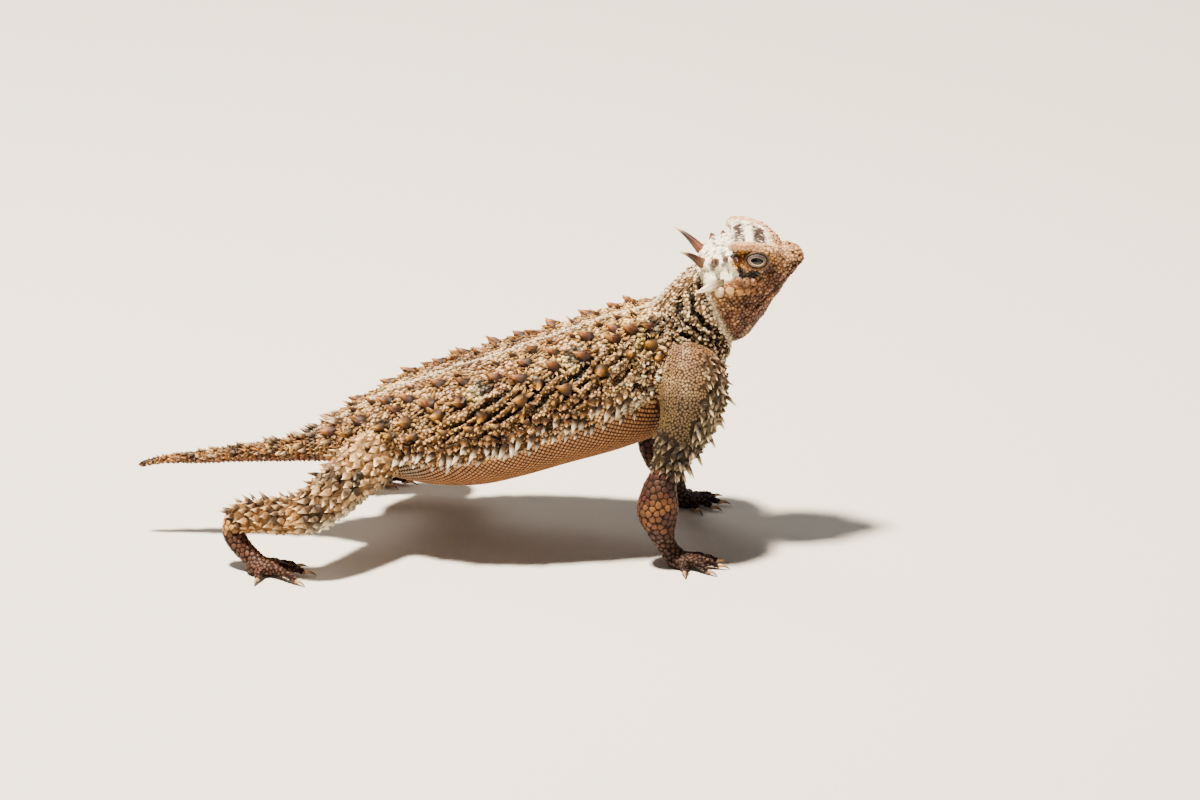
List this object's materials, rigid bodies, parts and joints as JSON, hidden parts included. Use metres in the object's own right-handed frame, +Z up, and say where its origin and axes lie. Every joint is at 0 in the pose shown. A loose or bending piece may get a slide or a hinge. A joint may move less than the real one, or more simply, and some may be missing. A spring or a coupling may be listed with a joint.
{
  "type": "horned lizard",
  "caption": "Texas horned lizard as a still, life-size model: standing with its head raised, horned crown, spiny back, fringed flanks and short tail.",
  "frame": {"origin": "centre of the bounding box, on the floor", "axes": "+X along the body towards the head, +Y to the animal's left, +Z up"},
  "size_m": [0.121, 0.0676, 0.0585],
  "materials": {
    "body_skin": "dry, rough scaly skin, reddish tan",
    "head_skin": "dry, rough plates, pinkish tan and cream",
    "limb_skin": "dry, keeled scales, tan and bronze",
    "horns": "smooth horn, reddish brown with paler tips",
    "eyes": "wet gloss"
  },
  "bodies": {
    "root": {"tail_tip": "body_skin", "tail_mid": "body_skin", "tail_base": "body_skin", "torso": "body_skin", "neck": "body_skin", "head": "head_skin", "eye_right": "eyes", "eye_left": "eyes", "occipital_horn_right": "horns", "occipital_horn_left": "horns", "temporal_horn_rear_right": "horns", "temporal_horn_rear_left": "horns", "temporal_horn_mid_right": "horns", "temporal_horn_mid_left": "horns", "temporal_horn_front_right": "horns", "temporal_horn_front_left": "horns", "right_upper_arm": "limb_skin", "right_forearm": "limb_skin", "right_hand": "limb_skin", "left_upper_arm": "limb_skin", "left_forearm": "limb_skin", "left_hand": "limb_skin", "right_thigh": "limb_skin", "right_shank": "limb_skin", "right_foot": "limb_skin", "left_thigh": "limb_skin", "left_shank": "limb_skin", "left_foot": "limb_skin"}
  },
  "joints": []
}
